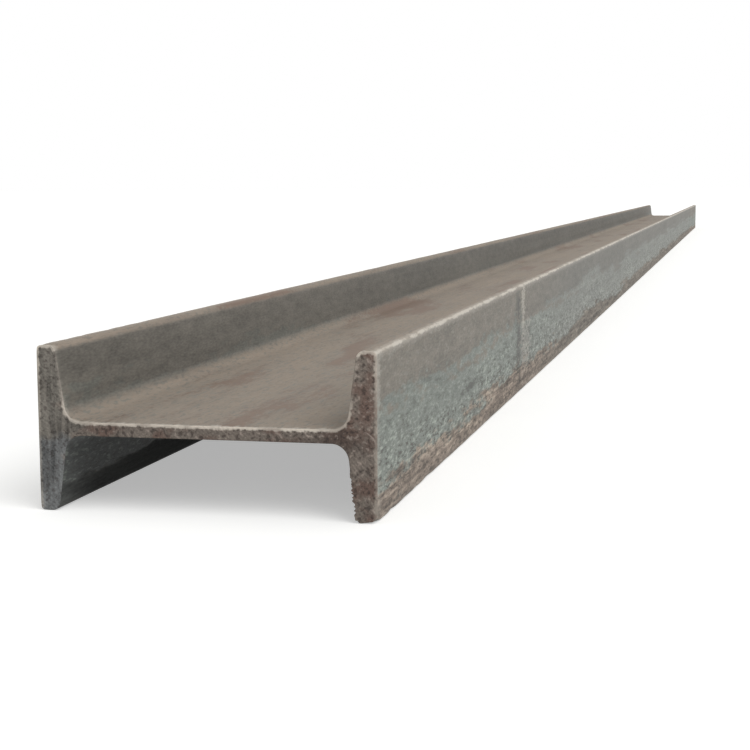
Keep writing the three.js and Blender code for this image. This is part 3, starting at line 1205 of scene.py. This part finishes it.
cut_colour = add_node(
    cut, "Mix", {FACTOR: rim, UNDER: cut_toned, OVER: linear(CUT_RIM_RUBBED_AND_LIT)}, RESULT, **COLOURS
)
print(f"rim rubbed to {CUT_RIM_RUBBED_AND_LIT}, at least {RIM_LEAST:.0%} of it everywhere")

# %% [markdown]
# The film is matt, and its pits and arcs are far under a millimetre deep, so they are a bump. The
# cut goes on the faces that the mesh marked as ends, and the mill scale on all the others.

# %% Saw cut: relief and shader
CUT_ROUGH = 0.85
GRAIN_RELIEF = -0.30
ARC_RELIEF = 0.05

cut_relief = add_node(cut, "Math", {0: grain, 1: GRAIN_RELIEF}, operation="MULTIPLY")
cut_relief = add_node(
    cut, "Math", {0: arcs, 1: ARC_RELIEF, 2: cut_relief}, operation="MULTIPLY_ADD"
)
cut_normal = add_node(cut, "Bump", {"Height": cut_relief, "Distance": MM, "Strength": 1.0})
cut_shader = add_node(
    cut,
    "BsdfPrincipled",
    {"Base Color": cut_colour, "Metallic": 0.0, "Roughness": CUT_ROUGH, "Normal": cut_normal},
)
add_node(cut, "OutputMaterial", {"Surface": cut_shader})
mesh.materials.append(saw_cut)
mesh.polygons.foreach_set("material_index", finishes)
print(saw_cut.name, "has", len(cut.nodes), "nodes")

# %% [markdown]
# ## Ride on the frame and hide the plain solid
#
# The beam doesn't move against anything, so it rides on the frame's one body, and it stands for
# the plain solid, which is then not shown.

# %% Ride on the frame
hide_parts("i_beam")
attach(beam, "root")
print(beam.name, "rides on the frame and shows for i_beam")

# %% [markdown]
# ## Camera
#
# The eye is low and close to the right of the near end, so the end face stands upright in view
# and the long flange runs away to a small far end. A short distance does that, not a wide lens:
# the distance sets the perspective, and the lens only frames it.

# %% Place the camera
EYE = Vector((0.2915, -0.8274, 0.1852))
AIM = Vector((0.0989, 0.0, 0.0829))
ROLL = math.radians(-0.33)
LENS = 75.51
SENSOR = 36.0
NEAREST_SEEN = 0.05

near_end = Vector(((LOW.x + HIGH.x) / 2, LOW.y, LOW.z))
camera_data = bpy.data.cameras.new("camera")
camera_data.lens = LENS
camera_data.sensor_width = SENSOR
camera_data.clip_start = NEAREST_SEEN
camera = bpy.data.objects.new("camera", camera_data)
camera.rotation_mode = "QUATERNION"
camera.location = near_end + EYE
camera.rotation_quaternion = (AIM - EYE).to_track_quat("-Z", "Y")
camera.rotation_quaternion.rotate(Quaternion((AIM - EYE).normalized(), -ROLL))
bpy.context.scene.collection.objects.link(camera)
bpy.context.scene.camera = camera
print(f"camera: {EYE.length:.2f} m from the foot of the near end, lens {LENS} mm")

# %% [markdown]
# ## Floor and light
#
# A pale floor and an even white sky give the plain light of a studio. One broad lamp from the
# right and above models the flanges; it is a sun lamp with a wide angle, because its light is
# the same along all six metres of the bar, and its shadows are as soft as a large softbox's.
# For the camera the sky and the lit floor are white, and the floor still takes the shadow. Both
# need to know which rays look at them: those of the camera, of a reflection or of a clear pane.

# %% Light
SKY_LIGHT = 0.50
LAMP_LIGHT = 1.5
LAMP_ANGLE = math.radians(45)
LAMP_FROM = Vector((0.75, -0.55, 0.95))


def add_looking(tree):
    """1 for a ray that looks at a thing, 0 for one that gathers its light."""
    ray = add_node(tree, "LightPath").node.outputs
    looking = ray["Is Camera Ray"]
    for kind in ("Is Glossy Ray", "Is Transmission Ray"):
        looking = add_node(tree, "Math", {0: looking, 1: ray[kind]}, operation="MAXIMUM")
    return looking


scene = bpy.context.scene
scene.view_settings.view_transform = "Standard"
scene.world = bpy.data.worlds.new("studio_sky")
scene.world.use_nodes = True
sky = scene.world.node_tree
sky.nodes.clear()
strength = add_node(sky, "MapRange", {0: add_looking(sky), 3: SKY_LIGHT, 4: 1.0})
backdrop = add_node(sky, "Background", {"Color": (1, 1, 1, 1), "Strength": strength})
add_node(sky, "OutputWorld", {"Surface": backdrop})

lamp_data = bpy.data.lights.new("soft_lamp", "SUN")
lamp_data.energy = LAMP_LIGHT
lamp_data.angle = LAMP_ANGLE
lamp = bpy.data.objects.new("soft_lamp", lamp_data)
lamp.rotation_mode = "QUATERNION"
lamp.rotation_quaternion = LAMP_FROM.to_track_quat("Z", "Y")
scene.collection.objects.link(lamp)
print(f"light: sky {SKY_LIGHT}, lamp {LAMP_LIGHT}")

# %% Floor
FLOOR_HALF = 60.0
FLOOR_COLOUR = "#e4e4e2"
FLOOR_LIFT = 0.42

floor_mesh = bpy.data.meshes.new("studio_floor")
floor_mesh.from_pydata(
    [(x, y, LOW.z) for x, y in ((-1, -1), (1, -1), (1, 1), (-1, 1))], [], [(0, 1, 2, 3)]
)
floor_mesh.transform(Matrix.Diagonal((FLOOR_HALF, FLOOR_HALF, 1, 1)))
floor = bpy.data.objects.new("studio_floor", floor_mesh)
scene.collection.objects.link(floor)
floor_paint = bpy.data.materials.new("pale_matt_floor")
floor_paint.use_nodes = True
paint = floor_paint.node_tree
paint.nodes.clear()
lift = add_node(paint, "Math", {0: add_looking(paint), 1: FLOOR_LIFT}, operation="MULTIPLY")
matt = add_node(paint, "BsdfDiffuse", {"Color": linear(FLOOR_COLOUR)})
glow = add_node(paint, "Emission", {"Color": (1, 1, 1, 1), "Strength": lift})
add_node(paint, "OutputMaterial", {"Surface": add_node(paint, "AddShader", {0: matt, 1: glow})})
floor_mesh.materials.append(floor_paint)
